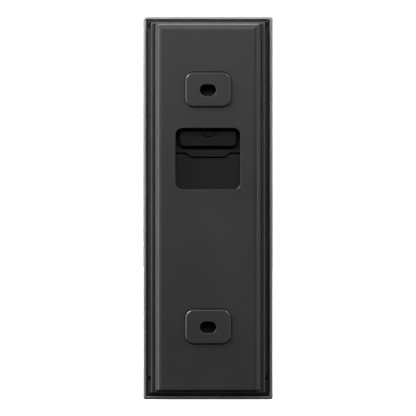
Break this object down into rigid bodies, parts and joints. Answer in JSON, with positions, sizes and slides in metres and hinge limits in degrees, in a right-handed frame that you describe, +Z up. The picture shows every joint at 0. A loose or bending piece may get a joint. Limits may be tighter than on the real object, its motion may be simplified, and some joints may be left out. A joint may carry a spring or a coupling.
{
  "type": "video doorbell",
  "caption": "Slim battery video doorbell on its wall plate, with camera, motion window, round button, speaker and a covered rear charging port.",
  "frame": {"origin": "on the wall plane, midway between the wall plate's two screw slots", "axes": "+Z up, -Y out of the wall towards the visitor, +Y into the wall, +X to the right as seen by the visitor"},
  "size_m": [0.0464, 0.0269, 0.1366],
  "materials": {
    "plate_plastic": "fine-grained matte charcoal",
    "housing_plastic": "matte black",
    "shell_metal": "satin, dark nickel tone",
    "panel_gloss": "gloss black",
    "trim_metal": "turned satin",
    "window_glass": "dark tinted, coated",
    "lens_glass": "coated optical",
    "filter_glass": "pink-tinted",
    "button_plastic": "satin dark grey",
    "icon_plastic": "white",
    "diffuser": "milky translucent",
    "motion_plastic": "dark infrared-clear",
    "silicone": "matte black",
    "foam": "open-cell foam",
    "inner_plastic": "black engineering plastic",
    "tongue_plastic": "black with contacts",
    "circuit_board": "green solder mask",
    "component": "black epoxy",
    "steel": "plain",
    "black_steel": "black oxide",
    "can_steel": "tinned",
    "magnet": "nickel plated",
    "cone": "treated film",
    "mesh": "woven black",
    "battery_wrap": "foil pouch under grey wrap",
    "lead_red": "insulated leads",
    "lamp_plastic": "clear resin"
  },
  "bodies": {
    "mount": {"mounting_plate": "plate_plastic", "window_gasket": "foam", "latch_spring": "steel", "latch_screw": "black_steel"},
    "doorbell": {"outer_shell": "shell_metal", "front_panel": "panel_gloss", "rear_housing": "housing_plastic", "service_bezel": "housing_plastic", "housing_seal": "silicone", "housing_screws": "black_steel", "usb_shell": "steel", "usb_tongue": "tongue_plastic", "sync_switch": "component", "camera_ring": "trim_metal", "camera_window": "window_glass", "window_seal": "silicone", "lens_hood": "inner_plastic", "lens_barrel": "inner_plastic", "lens_front": "lens_glass", "lens_middle": "lens_glass", "lens_rear": "lens_glass", "lens_holder": "inner_plastic", "image_sensor": "component", "infrared_filter": "filter_glass", "lamp_board": "circuit_board", "infrared_lamps": "lamp_plastic", "motion_lens": "motion_plastic", "motion_sensor": "can_steel", "motion_filter": "component", "light_pipe": "diffuser", "light_sensor": "component", "microphone": "can_steel", "microphone_boot": "silicone", "light_ring": "diffuser", "button_seal": "silicone", "button_board": "circuit_board", "button_switch": "component", "ring_lamps": "icon_plastic", "speaker_frame": "inner_plastic", "speaker_cone": "cone", "speaker_magnet": "magnet", "speaker_gasket": "foam", "speaker_mesh": "mesh", "chassis": "inner_plastic", "chassis_screws": "steel", "main_board": "circuit_board", "board_screws": "steel", "shield_cans": "can_steel", "radio_antenna": "can_steel", "board_connectors": "icon_plastic", "battery_pack": "battery_wrap", "battery_board": "circuit_board", "battery_pad": "foam", "battery_leads": "lead_red"},
    "button": {"button_cap": "button_plastic", "button_bell": "icon_plastic"},
    "sync": {"sync_button": "button_plastic"},
    "cover": {"port_cover": "housing_plastic", "port_cover_seal": "silicone", "port_hinge_pin": "steel"}
  },
  "joints": [
    {"name": "unit_release", "type": "slide", "parent": "mount", "child": "doorbell", "axis": [0, -1, 0], "range_m": [0, 0.03], "deforming": ["latch_spring"]},
    {"name": "button_press", "type": "slide", "parent": "doorbell", "child": "button", "axis": [0, 1, 0], "range_m": [0, 0.0008], "stiffness_N_per_m": 2500, "springref_m": -0.0003},
    {"name": "sync_press", "type": "slide", "parent": "doorbell", "child": "sync", "axis": [0, -1, 0], "range_m": [0, 0.0003], "stiffness_N_per_m": 3000, "springref_m": -0.0002},
    {"name": "port_cover_hinge", "type": "hinge", "parent": "doorbell", "child": "cover", "pos_m": [0, -0.00465, 0.0233], "axis": [-1, 0, 0], "range_deg": [0, 110]}
  ]
}
